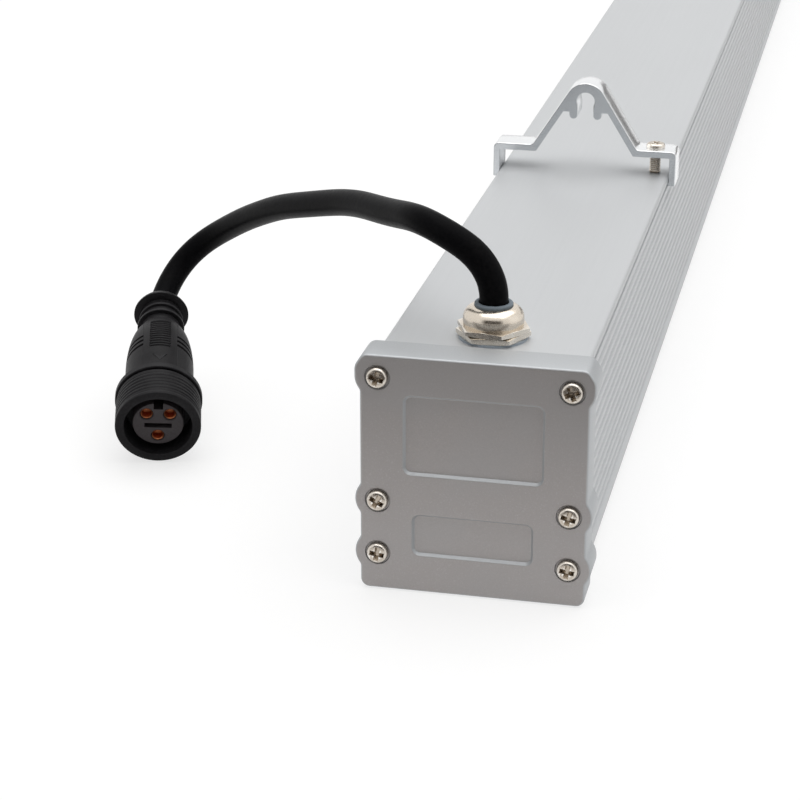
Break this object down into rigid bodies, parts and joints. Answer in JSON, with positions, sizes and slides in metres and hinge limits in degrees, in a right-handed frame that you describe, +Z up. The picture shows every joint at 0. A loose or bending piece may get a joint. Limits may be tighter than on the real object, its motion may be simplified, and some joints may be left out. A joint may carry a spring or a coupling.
{
  "type": "wall washer light",
  "caption": "Linear outdoor wall washer light: a ribbed bar housing with screwed end caps, a cable gland with plug-in lead, and two sliding clip-on brackets.",
  "frame": {"origin": "under the middle of the bar, on the plane that both end caps rest on with the glass facing down", "axes": "+X across the bar, +Y along the bar from the cable end to the far end, +Z up, out of the back that carries the brackets"},
  "size_m": [0.1692, 1.0028, 0.0989],
  "materials": {
    "housing_silver": "fine satin anodised",
    "cap_grey": "fine metallic grey powder coat",
    "black_rubber": "satin black",
    "screw_nickel": "nickel-plated, plain",
    "clear_glass": "clear tempered",
    "grey_rubber": "matte blue-grey silicone",
    "board_white": "white solder mask",
    "led_yellow": "phosphor yellow",
    "black_plastic": "satin moulded black",
    "lens_clear": "clear moulded",
    "board_green": "green solder mask",
    "standoff_brass": "plain turned",
    "capacitor_blue": "shrink sleeve",
    "copper_wire": "enamelled copper wire",
    "contact_copper": "bare copper alloy",
    "block_green": "moulded green",
    "lead_plastic": "lead insulation, several colours",
    "gland_nickel": "nickel-plated brass, warm tint",
    "insert_grey": "moulded dark grey"
  },
  "bodies": {
    "lamp": {"housing": "housing_silver", "end_cap_near": "cap_grey", "end_cap_far": "cap_grey", "end_gasket_near": "black_rubber", "end_gasket_far": "black_rubber", "cap_screws_near": "screw_nickel", "cap_screws_far": "screw_nickel", "front_glass": "clear_glass", "glass_seals": "grey_rubber", "led_boards": "board_white", "leds": "led_yellow", "lens_holders": "black_plastic", "lenses": "lens_clear", "led_board_screws": "screw_nickel", "driver_board": "board_green", "board_standoffs": "standoff_brass", "driver_screws": "screw_nickel", "filter_capacitors": "capacitor_blue", "power_inductor": "copper_wire", "driver_chips": "black_plastic", "terminal_blocks": "block_green", "supply_leads": "lead_plastic", "through_leads": "lead_plastic", "led_leads": "lead_plastic", "shelf_grommet": "black_rubber", "gland_washer_near": "grey_rubber", "gland_body_near": "gland_nickel", "gland_nut_near": "gland_nickel", "gland_rubber_near": "grey_rubber", "gland_locknut_near": "gland_nickel", "gland_washer_far": "grey_rubber", "gland_body_far": "gland_nickel", "gland_nut_far": "gland_nickel", "gland_rubber_far": "grey_rubber", "gland_locknut_far": "gland_nickel", "cable_entry": "black_rubber", "power_cable": "black_rubber", "connector_grip": "black_plastic", "connector_collar": "black_plastic", "socket_insert": "insert_grey", "socket_contacts": "contact_copper", "connector_seal": "black_rubber"},
    "near_bracket": {"bracket_near": "housing_silver"},
    "near_clamp_screw": {"clamp_screw_near": "screw_nickel"},
    "far_bracket": {"bracket_far": "housing_silver"},
    "far_clamp_screw": {"clamp_screw_far": "screw_nickel"}
  },
  "joints": [
    {"name": "near_bracket_slide", "type": "slide", "parent": "lamp", "child": "near_bracket", "axis": [0, 1, 0], "range_m": [-0.1, 0.25]},
    {"name": "near_clamp_travel", "type": "slide", "parent": "near_bracket", "child": "near_clamp_screw", "axis": [0, 0, 1], "range_m": [0, 0.003]},
    {"name": "far_bracket_slide", "type": "slide", "parent": "lamp", "child": "far_bracket", "axis": [0, 1, 0], "range_m": [-0.25, 0.1]},
    {"name": "far_clamp_travel", "type": "slide", "parent": "far_bracket", "child": "far_clamp_screw", "axis": [0, 0, 1], "range_m": [0, 0.003]}
  ]
}
